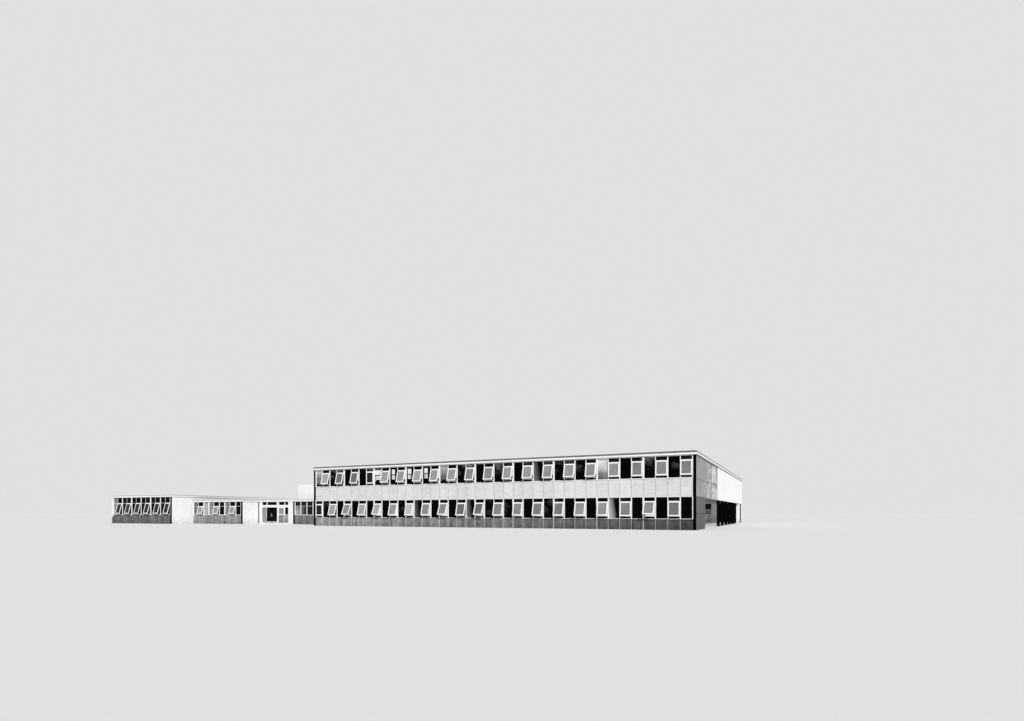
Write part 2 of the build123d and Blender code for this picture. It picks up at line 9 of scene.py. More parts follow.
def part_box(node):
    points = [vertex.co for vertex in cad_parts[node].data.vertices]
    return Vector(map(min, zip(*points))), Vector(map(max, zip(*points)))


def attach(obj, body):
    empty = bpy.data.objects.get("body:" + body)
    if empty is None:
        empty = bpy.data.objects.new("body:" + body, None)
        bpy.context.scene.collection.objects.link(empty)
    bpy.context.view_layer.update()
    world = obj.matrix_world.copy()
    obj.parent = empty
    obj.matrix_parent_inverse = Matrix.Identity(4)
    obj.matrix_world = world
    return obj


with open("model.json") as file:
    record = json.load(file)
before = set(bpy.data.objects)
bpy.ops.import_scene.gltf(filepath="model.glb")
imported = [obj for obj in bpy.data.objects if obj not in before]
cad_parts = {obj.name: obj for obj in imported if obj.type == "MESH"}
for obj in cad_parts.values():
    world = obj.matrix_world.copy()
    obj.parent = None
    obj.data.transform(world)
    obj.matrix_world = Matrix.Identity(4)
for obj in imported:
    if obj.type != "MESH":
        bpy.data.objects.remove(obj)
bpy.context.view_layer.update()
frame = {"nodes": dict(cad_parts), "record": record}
print("frame loaded with", len(frame["nodes"]), "nodes")

# Camera, light and floor
cameraLook = {"place": (23.216, -35.829, 0.7), "turnedLeft": 25.74, "lens": 20.7, "shiftUp": 0.149,
              "farthest": 2000}
lightLook = {"sun": 2.8, "softness": 5.0, "tilt": 56.0, "turn": 43.0, "around": 0.38, "backdrop": 0.75}
floorLook = {"reach": 900.0, "tone": 0.86, "roughness": 0.9, "gloss": 0.1}

scene = bpy.context.scene
scene.view_settings.view_transform = "Standard"


def makeCamera(look):
    data = bpy.data.cameras.new("camera")
    data.lens = look["lens"]
    data.shift_y = look["shiftUp"]
    data.clip_end = look["farthest"]
    camera = bpy.data.objects.new("camera", data)
    camera.location = look["place"]
    camera.rotation_euler = (math.radians(90), 0, math.radians(look["turnedLeft"]))
    scene.collection.objects.link(camera)
    scene.camera = camera


# Shader sums are written as expressions on wires
class Wire:
    def __init__(self, finish, socket):
        self.finish = finish
        self.socket = socket

    def sum(self, operation, first, second):
        return self.finish.node("Math", {"operation": operation}, {0: first, 1: second})

    def __add__(self, other):
        return self.sum("ADD", self, other)

    def __sub__(self, other):
        return self.sum("SUBTRACT", self, other)

    def __rsub__(self, other):
        return self.sum("SUBTRACT", other, self)

    def __mul__(self, other):
        return self.sum("MULTIPLY", self, other)

    def __truediv__(self, other):
        return self.sum("DIVIDE", self, other)

    def __gt__(self, other):
        return self.sum("GREATER_THAN", self, other)

    def __lt__(self, other):
        return self.sum("LESS_THAN", self, other)

    __radd__ = __add__
    __rmul__ = __mul__

    def floor(self):
        return self.finish.node("Math", {"operation": "FLOOR"}, {0: self})

    def clamp(self):
        return self.finish.node("Clamp", {}, {"Value": self})

    # 0 to 1 spread over another span
    def between(self, low, high):
        return self * (high - low) + low

    # 0 to 1 spread evenly about 1, to multiply a tone with
    def around(self, spread):
        return self.between(1 - spread / 2, 1 + spread / 2)

    # How far a value is past a start, held within 0 and 1
    def past(self, start, gain=1.0):
        return ((self - start) * gain).clamp()

    # 1 where a counted value is this number
    def isNumber(self, number):
        return (self > number - 0.5) * (self < number + 0.5)


class Finish:
    def __init__(self, name):
        self.material = bpy.data.materials.new(name)
        self.material.use_nodes = True
        self.tree = self.material.node_tree
        self.shader = self.tree.nodes["Principled BSDF"]
        place = self.tree.nodes.new("ShaderNodeTexCoord")
        self.place = Wire(self, place.outputs["Object"])
        split = self.tree.nodes.new("ShaderNodeSeparateXYZ")
        self.tree.links.new(place.outputs["Object"], split.inputs[0])
        self.x, self.y, self.z = (Wire(self, split.outputs[i]) for i in range(3))

    def plug(self, socket, value):
        if isinstance(value, Wire):
            self.tree.links.new(value.socket, socket)
        elif socket.type == "RGBA" and isinstance(value, float):
            socket.default_value = (value, value, value, 1)
        else:
            socket.default_value = value

    def node(self, kind, settings, inputs, output=0):
        made = self.tree.nodes.new("ShaderNode" + kind)
        for key, value in settings.items():
            setattr(made, key, value)
        for key, value in inputs.items():
            self.plug(made.inputs[key], value)
        return Wire(self, made.outputs[output])

    # Noise from 0 to 1, stretched by a scale for each axis
    def noise(self, scale, detail):
        stretched = self.node("Mapping", {}, {"Vector": self.place, "Scale": scale})
        return self.node("TexNoise", {}, {"Vector": stretched, "Scale": 1.0, "Detail": detail})

    # One chance value from 0 to 1 for each cell of a pattern
    def chance(self, cell):
        return self.node("TexWhiteNoise", {"noise_dimensions": "1D"}, {"W": cell}, "Value")

    # 1 at the foot of a wall, fading to 0 at a height
    def foot(self, height):
        return (1 - self.z / height).clamp()

    def tone(self, value):
        return self.node("CombineColor", {}, {"Red": value, "Green": value, "Blue": value})

    def bump(self, height, depth, strength):
        made = self.node("Bump", {}, {"Height": height, "Distance": depth, "Strength": strength})
        self.plug(self.shader.inputs["Normal"], made)

    # A fine bump of its own noise: scale, detail, depth and strength
    def grain(self, scale, detail, depth, strength):
        self.bump(self.noise(scale, detail), depth, strength)

    def set(self, **values):
        names = {"colour": "Base Color", "roughness": "Roughness", "alpha": "Alpha",
                 "gloss": "Specular IOR Level"}
        for key, value in values.items():
            self.plug(self.shader.inputs[names[key]], value)
        return self.material


def makeWorld(look):
    # The camera, metal and glass see the backdrop, and everything else is lit at a plain level
    world = bpy.data.worlds.new("world")
    scene.world = world
    world.use_nodes = True
    tree = world.node_tree
    light = tree.nodes["Background"]
    seen = tree.nodes.new("ShaderNodeBackground")
    for background, strength in ((light, look["around"]), (seen, look["backdrop"])):
        background.inputs["Color"].default_value = (1, 1, 1, 1)
        background.inputs["Strength"].default_value = strength
    path = tree.nodes.new("ShaderNodeLightPath")
    either = path.outputs["Is Camera Ray"]
    for ray in ("Is Glossy Ray", "Is Transmission Ray"):
        joined = tree.nodes.new("ShaderNodeMath")
        joined.operation = "MAXIMUM"
        tree.links.new(either, joined.inputs[0])
        tree.links.new(path.outputs[ray], joined.inputs[1])
        either = joined.outputs[0]
    mix = tree.nodes.new("ShaderNodeMixShader")
    tree.links.new(either, mix.inputs[0])
    tree.links.new(light.outputs[0], mix.inputs[1])
    tree.links.new(seen.outputs[0], mix.inputs[2])
    tree.links.new(mix.outputs[0], tree.nodes["World Output"].inputs[0])


def makeSun(look):
    sun = bpy.data.lights.new("sun", "SUN")
    sun.energy = look["sun"]
    sun.angle = math.radians(look["softness"])
    lamp = bpy.data.objects.new("sun", sun)
    lamp.rotation_euler = (math.radians(look["tilt"]), 0, math.radians(look["turn"]))
    scene.collection.objects.link(lamp)


def makeFloor(look):
    reach = look["reach"]
    mesh = bpy.data.meshes.new("floor")
    corners = [(-reach, -reach, 0), (reach, -reach, 0), (reach, reach, 0), (-reach, reach, 0)]
    mesh.from_pydata(corners, [], [(0, 1, 2, 3)])
    floor = bpy.data.objects.new("floor", mesh)
    scene.collection.objects.link(floor)
    finish = Finish("pale floor")
    mesh.materials.append(finish.set(colour=look["tone"], roughness=look["roughness"], gloss=look["gloss"]))


makeCamera(cameraLook)
makeWorld(lightLook)
makeSun(lightLook)
makeFloor(floorLook)
print("camera, light and floor are in place")


# Planning grid and landmarks, read from the frame
gridFacts = {"modules": 40, "postEvery": 4}
windowLow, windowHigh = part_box("front_lower_frame")
upperLow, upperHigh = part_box("front_upper_frame")
gridStart = windowLow.x
module = (windowHigh.x - windowLow.x) / gridFacts["modules"]
frontPlane = windowLow.y
frameDepth = windowHigh.y - windowLow.y
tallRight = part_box("tall_pavilion_roof")[1].x
linkPierLow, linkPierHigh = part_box("link_pier")
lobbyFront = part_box("leg_cross_wall")[0].y


def solidsOf(node):
    # The points of each separate solid in a node
    mesh = frame["nodes"][node].data
    spots = {}
    index = [spots.setdefault(tuple(round(c, 5) for c in v.co), len(spots)) for v in mesh.vertices]
    parent = list(range(len(spots)))

    def root(i):
        while parent[i] != i:
            parent[i] = parent[parent[i]]
            i = parent[i]
        return i

    for polygon in mesh.polygons:
        first = root(index[polygon.vertices[0]])
        for v in polygon.vertices[1:]:
            parent[root(index[v])] = first
    groups = {}
    for spot, i in spots.items():
        groups.setdefault(root(i), []).append(Vector(spot))
    return list(groups.values())


def boxOf(points):
    low = Vector(min(p[i] for p in points) for i in range(3))
    high = Vector(max(p[i] for p in points) for i in range(3))
    return low, high


def boxesOf(node):
    return [boxOf(points) for points in solidsOf(node)]


# Weather that every opaque finish shares: soft blotches, shifts from panel to panel, rain streaks and
# dirt at the foot of the walls. A noise is given as its scale on each axis and its detail.
plainWeather = {"blotch": 0.05, "cell": 0, "shift": 0.0, "storey": 1.0, "streak": 0.1,
                "splashHeight": 0.5, "splash": 0.15}
weatherNoise = {"blotches": ((0.9, 0.9, 0.9), 3.0), "streaks": ((9.0, 9.0, 0.35), 5.0), "streaksFrom": 0.45,
                "splashes": ((3.0, 3.0, 3.0), 3.0), "room": 3.0, "storeyStep": 57.3, "roomStep": 13.7}


def weather(finish, look):
    shared = weatherNoise
    value = finish.noise(*shared["blotches"]).around(look["blotch"]) * look["tone"]
    if look["cell"]:
        cell = ((finish.x - gridStart) / (module * look["cell"])).floor()
        cell = cell + (finish.z / look["storey"]).floor() * shared["storeyStep"]
        cell = cell + (finish.y / shared["room"]).floor() * shared["roomStep"]
        value = value * finish.chance(cell).around(look["shift"])
    streaks = finish.noise(*shared["streaks"]).past(shared["streaksFrom"])
    value = value * (1 - streaks * look["streak"])
    splash = finish.foot(look["splashHeight"]) * finish.noise(*shared["splashes"])
    return value * (1 - splash * look["splash"])


# Paints with brush marks
brushLook = {"marks": ((60.0, 60.0, 12.0), 4.0, 0.0008, 0.5), "wear": ((14.0, 14.0, 14.0), 3.0),
             "wearSpread": 0.1, "gloss": 0.4}
boardingLook = dict(plainWeather, tone=0.84, roughness=0.42, cell=gridFacts["postEvery"], shift=0.05,
                    streak=0.14, splash=0.0)
framePaintLook = dict(plainWeather, tone=0.86, roughness=0.35, streak=0.16)
steelPaintLook = dict(plainWeather, tone=0.55, roughness=0.4, blotch=0.15)
passageFrameLook = dict(plainWeather, tone=0.33, roughness=0.5)
darkPaintLook = dict(plainWeather, tone=0.003, roughness=0.8, gloss=0.0, blotch=0.3, streak=0.2, splash=0.0)


def makePaint(name, look):
    finish = Finish(name)
    finish.grain(*brushLook["marks"])
    rough, spread = look["roughness"], brushLook["wearSpread"]
    wear = finish.noise(*brushLook["wear"]).between(rough - spread, rough + spread)
    return finish.set(colour=finish.tone(weather(finish, look)), roughness=wear, gloss=brushLook["gloss"])


def makeDarkPaint(look):
    finish = Finish("dark paint")
    finish.grain(*brushLook["marks"])
    return finish.set(colour=finish.tone(weather(finish, look)), roughness=look["roughness"],
                      gloss=look["gloss"])


# White render with grit, and dirt along its foot. The hall's tone is a lighter copy of the walls' render:
# painted light.
renderTones = {"walls": 0.88, "hall": 0.98}
renderLook = dict(plainWeather, blotch=0.08, streak=0.12, splash=0.3, roughness=0.85, gloss=0.2,
                  dirt=0.6, dirtNoise=((8.0, 8.0, 14.0), 6.0), dirtFrom=0.45, dirtGain=4, dirtHeight=0.24,
                  grit=0.06, gritNoise=((90.0, 90.0, 90.0), 6.0), swell=3,
                  swellNoise=((6.0, 6.0, 6.0), 3.0), bump=(0.0015, 0.6))


def makeRender(name, tone, look):
    finish = Finish(name)
    dirt = finish.noise(*look["dirtNoise"]).past(look["dirtFrom"], look["dirtGain"])
    dirt = dirt * finish.foot(look["dirtHeight"])
    grit = finish.noise(*look["gritNoise"])
    value = weather(finish, dict(look, tone=tone)) * (1 - dirt * look["dirt"]) * grit.around(look["grit"])
    finish.bump(grit + finish.noise(*look["swellNoise"]) * look["swell"], *look["bump"])
    return finish.set(colour=finish.tone(value), roughness=look["roughness"], gloss=look["gloss"])


# Light spandrel panels with level smudges
panelLook = dict(plainWeather, tone=0.67, cell=1, shift=0.07, storey=3.3, blotch=0.08, streak=0.22,
                 mottle=0.2, mottleNoise=((3.5, 3.5, 2.5), 4.0), smudge=0.13,
                 smudgeNoise=((2.6, 2.6, 11.0), 4.0), smudgeFrom=0.54, smudgeGain=6,
                 grain=((40.0, 40.0, 40.0), 5.0, 0.0008, 0.4), wearNoise=((5.0, 5.0, 2.0), 3.0),
                 roughness=(0.45, 0.75), gloss=0.3)


def makePanel(look):
    finish = Finish("light panels")
    smudge = finish.noise(*look["smudgeNoise"]).past(look["smudgeFrom"], look["smudgeGain"])
    mottle = finish.noise(*look["mottleNoise"]).around(look["mottle"])
    value = weather(finish, look) * mottle * (1 - smudge * look["smudge"])
    finish.grain(*look["grain"])
    wear = finish.noise(*look["wearNoise"]).between(*look["roughness"])
    return finish.set(colour=finish.tone(value), roughness=wear, gloss=look["gloss"])


# Ribbed aprons, paler towards the left end of the range, with a share of that tone for each wing. The
# darkening towards the right is painted shade, and the lobby's lift is painted light.
apronLook = dict(plainWeather, tone=1.0, cell=0.25, shift=0.6, storey=3.3, blotch=0.5, streak=0.9,
                 splash=0.5, splashHeight=0.3, left=0.31, right=0.052, patches=1.2,
                 patchNoise=((4.5, 4.5, 6.0), 4.0), grain=((80.0, 80.0, 20.0), 4.0, 0.001, 0.5),
                 roughness=0.7, gloss=0.25)
apronShares = {"link": 0.55, "lowPavilion": 0.85, "tallPavilion": 0.42, "lobby": 8.0, "overlap": 0.02}


def makeApron(look, shares):
    finish = Finish("ribbed aprons")
    along = ((finish.x - gridStart) / (windowHigh.x - gridStart)).clamp()
    # Painted shade: darker towards the right end of the range
    value = weather(finish, look) * along.between(look["left"], look["right"])
    value = value * finish.noise(*look["patchNoise"]).around(look["patches"])
    share = 1.0
    for wing, edge in (("link", gridStart), ("lowPavilion", linkPierLow.x), ("tallPavilion", tallRight)):
        left = finish.x < edge - shares["overlap"]
        share = share * (1 - left) + left * shares[wing]
    # Painted light: the lobby apron under the leg is lifted many times over to make up for its shade
    lobby = finish.y > lobbyFront
    value = value * share * lobby.between(1, shares["lobby"])
    finish.grain(*look["grain"])
    return finish.set(colour=finish.tone(value), roughness=look["roughness"], gloss=look["gloss"])


# Grey panels of the end walls, darker in the lower storey
endPanelLook = dict(plainWeather, tone=0.32, blotch=0.5, streak=0.7, splash=0.3, splashHeight=0.6,
                    lowShare=0.38, bay=0.65, course=0.69, courseStep=7.1, panelShift=0.14, mottle=0.6,
                    mottleNoise=((5.0, 5.0, 2.0), 5.0), grain=((50.0, 50.0, 50.0), 5.0, 0.0012, 0.5),
                    roughness=0.75, gloss=0.2)


def makeEndPanel(look):
    finish = Finish("grey end panels")
    value = weather(finish, look) * (finish.z > windowHigh.z).between(look["lowShare"], 1)
    panel = (finish.y / look["bay"]).floor() + (finish.z / look["course"]).floor() * look["courseStep"]
    value = value * finish.chance(panel).around(look["panelShift"])
    value = value * finish.noise(*look["mottleNoise"]).around(look["mottle"])
    finish.grain(*look["grain"])
    return finish.set(colour=finish.tone(value), roughness=look["roughness"], gloss=look["gloss"])


concreteLook = dict(plainWeather, tone=0.3, blotch=0.25, streak=0.2, splash=0.0, pores=0.3,
                    poreNoise=((45.0, 45.0, 45.0), 7.0), bump=(0.002, 0.7), roughness=0.9, gloss=0.15)


def makeConcrete(look):
    finish = Finish("concrete")
    pores = finish.noise(*look["poreNoise"])
    finish.bump(pores, *look["bump"])
    value = weather(finish, look) * pores.around(look["pores"])
    return finish.set(colour=finish.tone(value), roughness=look["roughness"], gloss=look["gloss"])


# Roof felt, with white ceilings on the faces that look down
feltLook = dict(plainWeather, tone=0.17, cell=1, shift=0.2, blotch=0.4, streak=0.0, splash=0.0, grit=0.5,
                gritNoise=((220.0, 220.0, 220.0), 2.0), bump=(0.0015, 0.8), ceiling=0.85, downward=-0.5,
                roughness=0.95, gloss=0.1)


def makeFelt(look):
    finish = Finish("roof felt")
    grit = finish.noise(*look["gritNoise"])
    facing = finish.node("NewGeometry", {}, {}, "Normal")
    ceiling = finish.node("SeparateXYZ", {}, {0: facing}, 2) < look["downward"]
    value = weather(finish, look) * grit.around(look["grit"])
    value = value * (1 - ceiling) + ceiling * look["ceiling"]
    finish.bump(grit, *look["bump"])
    return finish.set(colour=finish.tone(value), roughness=look["roughness"], gloss=look["gloss"])


# The slight waves of drawn glass
glassWaves = ((1.6, 1.6, 2.2), 1.0, 0.002, 0.25)

# Tilted casement panes with a painted sky reflection: each has a pale tone of its own, some are picked out
# by bay, and those of the left pavilion stay dark
paneLook = {"pale": 0.125, "spread": 0.21, "wings": 0.12, "bright": {4: 0.12, 8: 0.1, 12: 0.34},
            "darkLower": 0, "darkUpper": 7, "dark": 0.003, "storeyStep": 61, "dustAndSheen": 0.6,
            "dustAndSheenNoise": ((2.5, 2.5, 1.5), 3.0), "roughness": (0.05, 0.15), "gloss": 0.25, "cover": 0.94}


def makeCasementGlass(look):
    finish = Finish("casement glass")
    onRange = finish.x > gridStart
    bay = ((finish.x - gridStart) / module).floor() * onRange + (onRange - 1)
    lower = finish.z < windowHigh.z
    upper = finish.z > upperLow.z
    tone = finish.chance(bay + upper * look["storeyStep"]) * look["spread"] + look["pale"]
    tone = tone + (1 - onRange) * look["wings"]
    for i, bright in look["bright"].items():
        tone = tone + bay.isNumber(i) * lower * bright
    for i, level in ((look["darkLower"], lower), (look["darkUpper"], 1 - lower)):
        tone = tone * (1 - bay.isNumber(i) * level)
    dustAndSheen = finish.noise(*look["dustAndSheenNoise"])
    tone = tone * dustAndSheen.around(look["dustAndSheen"]) * (finish.x > tallRight) + look["dark"]
    finish.grain(*glassWaves)
    return finish.set(colour=finish.tone(tone), roughness=dustAndSheen.between(*look["roughness"]),
                      gloss=look["gloss"], alpha=look["cover"])


# Plain glass: how much it hides and how much it shines. The dark glass is a nearly opaque black sheet,
# painted shade for the dark rooms behind it.
# Noise for dust on the glass, which also mottles the painted reflections and painted shade in its tone
glassDustAndSheen = ((1.2, 1.2, 0.8), 3.0)
darkGlassLook = {"tone": 0.004, "cover": 0.93, "gloss": 0.02, "dustAndSheen": 0.4, "roughness": (0.03, 0.11)}
rearGlassLook = {"tone": 0.02, "cover": 0.03, "gloss": 0.2, "dustAndSheen": 0.4, "roughness": (0.03, 0.11)}


def makeGlass(name, look):
    finish = Finish(name)
    finish.material.surface_render_method = "BLENDED"
    dustAndSheen = finish.noise(*glassDustAndSheen)
    finish.grain(*glassWaves)
    return finish.set(colour=finish.tone(dustAndSheen.around(look["dustAndSheen"]) * look["tone"]),
                      roughness=dustAndSheen.between(*look["roughness"]), gloss=look["gloss"], alpha=look["cover"])


# Transoms and glazing bars of the wings and of the rear windows
barLook = {"thick": 0.014, "depth": 0.016, "behind": 0.25, "lowTransom": 1.14, "tallTransom": 1.36,
           "lobbyTransom": 0.95, "lobbyThick": 0.032, "rearShare": 0.22, "bevel": 0.0015}

# Glass of the wings: the pale panes are counted in bays from the tall pavilion's right end. The lobby panes
# under the leg are painted lighter, the lower ones most: painted light in its shade.
wingGlassLook = {"dark": 0.003, "pale": {-12.25: 0.3, 0: 0.2, 2: 0.5, 3: 0.32, 6: 0.26}, "dustAndSheen": 1.6,
                 "link": 0.02, "linkPale": 0.36, "linkFirst": 0.75, "linkFrom": 1.2,
                 "lobby": 0.03, "lobbyLow": 0.3, "dustAndSheenNoise": ((2.0, 2.0, 3.0), 4.0),
                 "roughness": (0.04, 0.12), "gloss": 0.02, "cover": 0.92}


def makeWingGlass(look):
    finish = Finish("wing glass")
    dustAndSheen = finish.noise(*look["dustAndSheenNoise"])
    onLink = (finish.x > linkPierLow.x) * (finish.x < gridStart)
    along = (finish.x - linkPierHigh.x) / look["linkFirst"]
    lit = (look["linkFrom"] - along).clamp() * (finish.z < barLook["lowTransom"])
    # Painted light: the lobby panes, in the shade of the leg, are lifted, the lower ones most
    lobbyLow = (finish.z < barLook["lobbyTransom"]) * look["lobbyLow"]
    tone = onLink * (lit * look["linkPale"] + look["link"])
    tone = tone + (finish.x > gridStart) * (lobbyLow + look["lobby"])
    bay = (finish.x - tallRight) / module
    for start, pale in look["pale"].items():
        tone = tone + (bay > start) * (bay < start + 1) * pale
    finish.grain(*glassWaves)
    return finish.set(colour=finish.tone(tone * dustAndSheen * look["dustAndSheen"] + look["dark"]),
                      roughness=dustAndSheen.between(*look["roughness"]), gloss=look["gloss"],
                      alpha=look["cover"])


# Glass over the passage, in the shade of the leg: its pale patches, which grow denser towards the leg, are
# painted light, and it is dark on the court side
passageLook = {"patches": 0.44, "near": 0.18, "length": 2.6, "from": 0.42, "gain": 4.5, "base": 0.06,
               "dark": 0.004, "mottleNoise": ((1.6, 2.6, 3.2), 6.0), "bump": (0.003, 0.3),
               "roughness": 0.2, "gloss": 0.2, "cover": 0.96}


def makePassageGlass(look):
    finish = Finish("passage glass")
    low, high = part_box("passage_glass")
    mottle = finish.noise(*look["mottleNoise"])
    along = ((finish.y - low.y) / look["length"]).clamp()
    patches = mottle.past(look["from"], look["gain"]) * (along * look["patches"] + look["near"])
    value = patches + along * look["near"] + look["base"]
    value = value * (finish.x > (low.x + high.x) / 2) + look["dark"]
    finish.bump(mottle, *look["bump"])
    return finish.set(colour=finish.tone(value), roughness=look["roughness"], gloss=look["gloss"],
                      alpha=look["cover"])


# Fixed panes of the front, counted in bays from the left and in storeys from 0. Their near-black tone is
# painted shade for the dark rooms, and the pale marks on them are painted reflections.
frontGlassLook = {
    # Clear slots within a bay, and the heights between which they show daylight or a square of painted sky
    # reflection
    "clear": {8: (0.08, 0.85), 10: (0.24, 0.62), 12: (0.2, 0.64), 14: (0.2, 0.6)},
    "foot": 0.2, "bar": (0.56, 0.6), "head": 0.87, "square": 0.75, "cover": 0.98, "clearCover": 0.01,
    # Panes with a painted mottled reflection: how many there are, and how pale in each storey
    "share": 0.45, "storeys": (0.05, 0.16), "mottleFrom": 0.5, "mottleGain": 5,
    "mottleUp": (-0.6, 1.0), "lowerLift": 0.5, "mottleNoise": ((2.4, 2.4, 3.4), 5.0),
    # Painted reflections: pale wedges that narrow upward, and panes that fade towards their foot
    "wedges": {(13, 0): 0.1, (19, 0): 0.16, (33, 0): 0.5, (26, 1): 0.16},
    "wedgeFrom": 1.15, "wedgeAcross": 1.5, "wedgeUp": 0.4,
    "fading": {(32, 1): 0.75, (16, 1): 0.4, (0, 1): 0.5},
    "fadingUp": 1.1, "fadingMottle": 1.2, "fadingFrom": 0.6,
    # Painted reflections at the top of the odd upper panes
    "topLights": 0.48, "topFrom": 0.86, "topSteps": (7, 3), "storeyStep": 61,
    "roughness": (0.03, 0.09), "gloss": 0.012, "black": 0.0015,
}


def makeFrontGlass(look):
    finish = Finish("front glass")
    bay = (finish.x - gridStart) / module
    pane = bay.floor()
    upper = finish.z > upperLow.z
    low = upper.between(windowLow.z, upperLow.z)
    up = (finish.z - low) / (windowHigh.z - windowLow.z)
    mottle = finish.noise(*look["mottleNoise"])

    chosen = finish.chance(pane + upper * look["storeyStep"]) < look["share"]
    tone = mottle.past(look["mottleFrom"], look["mottleGain"]) * chosen * upper.between(*look["storeys"])
    tone = tone * (up.between(*look["mottleUp"]) + (1 - upper) * look["lowerLift"]).clamp()
    for (i, storey), pale in look["wedges"].items():
        wedge = (look["wedgeFrom"] - (bay - i) * look["wedgeAcross"] - up * look["wedgeUp"]).clamp()
        tone = tone + pane.isNumber(i) * (upper if storey else 1 - upper) * wedge * pale
    for (i, storey), pale in look["fading"].items():
        fade = (up * look["fadingUp"] + mottle * look["fadingMottle"] - look["fadingFrom"]).clamp()
        tone = tone + pane.isNumber(i) * (upper if storey else 1 - upper) * fade * pale
    odd = pane / 2 - (pane / 2).floor()
    topLight = (up > look["topFrom"]) * upper * odd * mottle * look["topLights"]
    for step in look["topSteps"]:
        topLight = topLight * finish.chance(pane + step)
    tone = tone + topLight

    slots = 0.0
    for i, (start, end) in look["clear"].items():
        slots = slots + (bay > i + start) * (bay < i + end) * upper
        tone = tone * (1 - pane.isNumber(i) * upper)
    barLow, barHigh = look["bar"]
    square = slots * (up > barHigh) * (up < look["head"])
    clear = slots * (up > look["foot"]) * (up < barLow)
    tone = tone + square * look["square"] + look["black"]
    finish.grain(*glassWaves)
    roughness = finish.noise(*glassDustAndSheen).between(*look["roughness"])
    return finish.set(colour=finish.tone(tone), roughness=roughness, gloss=look["gloss"],
                      alpha=clear.between(look["cover"], look["clearCover"]))


# Boards beside the doors, weathered in upright streaks
sideBoardLook = {"streaks": ((28.0, 28.0, 1.2), 4.0), "from": 0.3, "gain": 2.0, "tones": (0.08, 0.53),
                 "bump": (0.002, 0.5), "roughness": 0.6, "gloss": 0.2}


def makeSideBoards(look):
    finish = Finish("entrance side boards")
    streaks = finish.noise(*look["streaks"])
    value = streaks.past(look["from"], look["gain"]).between(*look["tones"])
    finish.bump(streaks, *look["bump"])
    return finish.set(colour=finish.tone(value), roughness=look["roughness"], gloss=look["gloss"])


# White fascia, with a painted shadow along its foot that stands in for the shade under the overhang
fasciaLook = dict(boardingLook, paintedShadowHeight=0.018, grey=0.7)


def makeFascia(look):
    finish = Finish("fascia boards")
    # Painted shadow along the foot of the fascia
    grey = finish.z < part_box("roof_fascia")[0].z + look["paintedShadowHeight"]
    value = weather(finish, look) * (1 - grey * look["grey"])
    finish.grain(*brushLook["marks"])
    return finish.set(colour=finish.tone(value), roughness=look["roughness"], gloss=brushLook["gloss"])


# Tall pavilion's frames: white posts every two bays, and greyer mullions between them
pavilionFrameLook = dict(plainWeather, tone=0.84, roughness=0.45, postShare=0.06, mullions=0.38)


def makePavilionFrames(look):
    finish = Finish("pavilion window paint")
    pair = (finish.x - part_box("tall_pavilion_frames")[0].x) / (module * 2)
    near = pair - pair.floor()
    post = ((near < look["postShare"]) + (near > 1 - look["postShare"])).clamp()
    value = weather(finish, look) * post.between(look["mullions"], 1)
    finish.grain(*brushLook["marks"])
    return finish.set(colour=finish.tone(value), roughness=look["roughness"], gloss=brushLook["gloss"])


finishes = {
    "white_boarding": makePaint("white boarding", boardingLook),
    "white_frames": makePaint("white window paint", framePaintLook),
    "white_render": makeRender("white render", renderTones["walls"], renderLook),
    "light_panels": makePanel(panelLook),
    "grey_aprons": makeApron(apronLook, apronShares),
    "grey_end_panels": makeEndPanel(endPanelLook),
    "dark_paint": makeDarkPaint(darkPaintLook),
    "steel_posts": makePaint("grey steel paint", steelPaintLook),
    "concrete": makeConcrete(concreteLook),
    "roof_felt": makeFelt(feltLook),
    "dark_glass": makeGlass("dark glass", darkGlassLook),
    "pale_glass": makeCasementGlass(paneLook),
}

# Nodes whose finish differs from that of their slot
ownFinish = {
    "hall_walls": makeRender("hall render painted lighter", renderTones["hall"], renderLook),
    "roof_fascia": makeFascia(fasciaLook),
    "tall_pavilion_frames": makePavilionFrames(pavilionFrameLook),
    "entrance_panel": makeSideBoards(sideBoardLook),
    "front_glass": makeFrontGlass(frontGlassLook),
    "rear_glass": makeGlass("rear glass", rearGlassLook),
    "wing_glass": makeWingGlass(wingGlassLook),
    "passage_glass": makePassageGlass(passageLook),
    "passage_frames": makePaint("grey window paint", passageFrameLook),
}


def dressNodes():
    for row in frame["record"]["subparts"]:
        name = row["node"]
        node = frame["nodes"][name]
        node.data.materials.clear()
        node.data.materials.append(ownFinish.get(name, finishes[row["material_slot"]]))


dressNodes()
print("finishes are on the frame's nodes")


